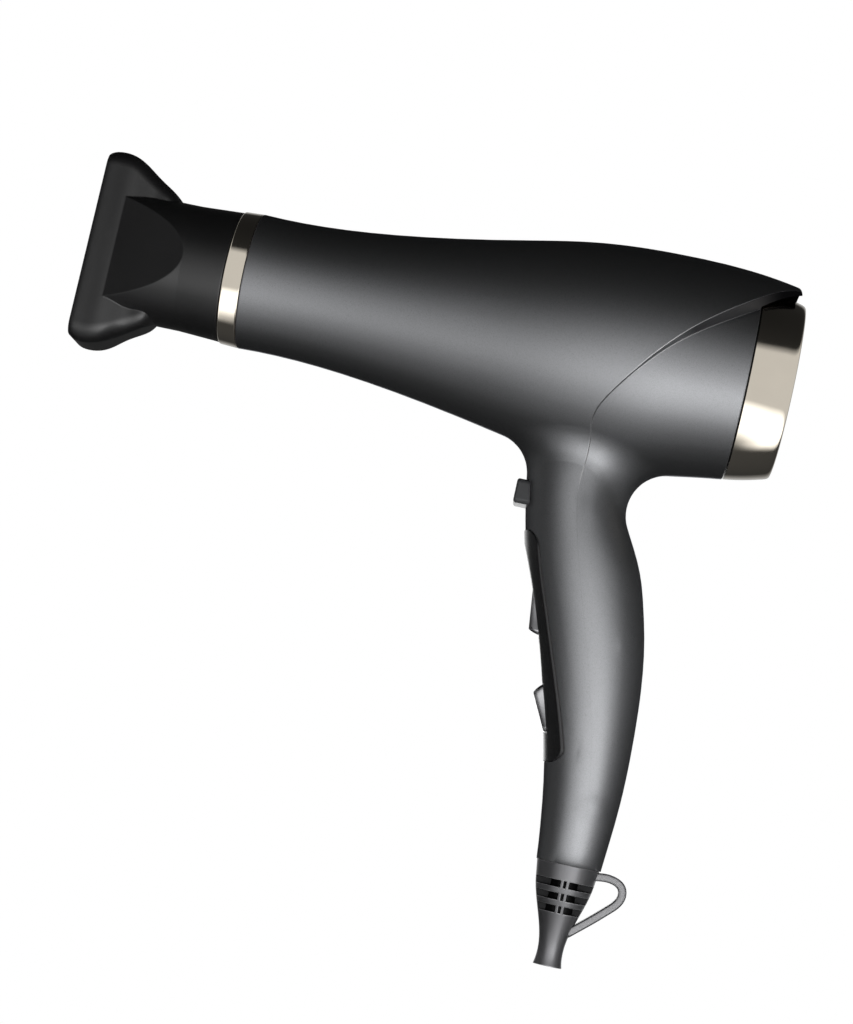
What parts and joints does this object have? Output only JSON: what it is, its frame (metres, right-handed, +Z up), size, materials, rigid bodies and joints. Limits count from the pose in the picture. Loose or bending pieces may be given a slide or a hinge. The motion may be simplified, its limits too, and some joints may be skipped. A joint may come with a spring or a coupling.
{
  "type": "hair dryer",
  "caption": "Pistol-grip hair dryer with a flared slot nozzle, polished rings, a visor crease over the rear inlet, rocker switches, a cool-shot button and a hanging loop.",
  "frame": {"origin": "middle of the grip, where a hand or a holder closes round the handle", "axes": "+X along the barrel from the nozzle to the rear inlet, +Y away from the pictured side, +Z up from the cord guard to the barrel"},
  "size_m": [0.2729, 0.0866, 0.2728],
  "materials": {
    "housing": "satin metallic charcoal",
    "polished_ring": "polished pale nickel",
    "nozzle_black": "satin black",
    "black_plastic": "matt black",
    "gloss_black": "gloss black",
    "dark_grey": "satin dark grey",
    "grey_rubber": "matt grey",
    "steel": "plain steel",
    "heating_alloy": "dull heating alloy",
    "mica": "pressed mica sheet",
    "wire_sleeve": "heat-proof sleeve"
  },
  "bodies": {
    "housing": {"housing_left": "housing", "housing_right": "housing", "housing_screws": "steel", "front_ring": "polished_ring", "outlet_grille": "black_plastic", "motor_can": "steel", "motor_end_cap": "black_plastic", "fan_duct": "black_plastic", "mica_tube": "mica", "mica_board_upright": "mica", "mica_board_level": "mica", "heater_ribbon": "heating_alloy", "thermostat": "black_plastic", "thermal_fuse": "steel", "switch_bezel": "gloss_black", "heat_switch": "black_plastic", "speed_switch": "black_plastic", "cool_shot_spring": "steel", "cool_shot_switch": "black_plastic", "hanging_loop": "grey_rubber", "cord_guard": "grey_rubber", "wire_connector": "black_plastic", "switch_wires": "wire_sleeve"},
    "nozzle_clip": {"nozzle_grip_ring": "steel"},
    "nozzle": {"nozzle": "nozzle_black"},
    "rear_cap": {"rear_ring": "polished_ring", "inlet_grille": "black_plastic", "filter_mesh": "steel"},
    "fan_rotor": {"fan": "black_plastic", "motor_shaft": "steel"},
    "cool_button": {"cool_shot_button": "dark_grey"},
    "heat_rocker": {"heat_rocker": "gloss_black"},
    "speed_rocker": {"speed_rocker": "gloss_black"}
  },
  "joints": [
    {"name": "nozzle_pull", "type": "slide", "parent": "housing", "child": "nozzle_clip", "axis": [-1, 0, 0], "range_m": [0, 0.06]},
    {"name": "nozzle_turn", "type": "hinge", "parent": "nozzle_clip", "child": "nozzle", "pos_m": [-0.171, 0, 0.115], "axis": [-1, 0, 0], "continuous": true},
    {"name": "rear_cap_pull", "type": "slide", "parent": "housing", "child": "rear_cap", "axis": [1, 0, 0], "range_m": [0, 0.04]},
    {"name": "fan_spin", "type": "hinge", "parent": "housing", "child": "fan_rotor", "pos_m": [0.0155, 0, 0.115], "axis": [1, 0, 0], "continuous": true},
    {"name": "cool_shot_press", "type": "slide", "parent": "housing", "child": "cool_button", "axis": [1, 0, 0], "range_m": [0, 0.003], "stiffness_N_per_m": 600, "springref_m": -0.001, "deforming": ["cool_shot_spring"]},
    {"name": "heat_rocker_tilt", "type": "hinge", "parent": "housing", "child": "heat_rocker", "pos_m": [-0.01962, 0, 0.01411], "axis": [0, -1, 0], "range_deg": [0, 26]},
    {"name": "speed_rocker_tilt", "type": "hinge", "parent": "housing", "child": "speed_rocker", "pos_m": [-0.00948, 0, -0.02067], "axis": [0, 1, 0], "range_deg": [0, 26]}
  ]
}
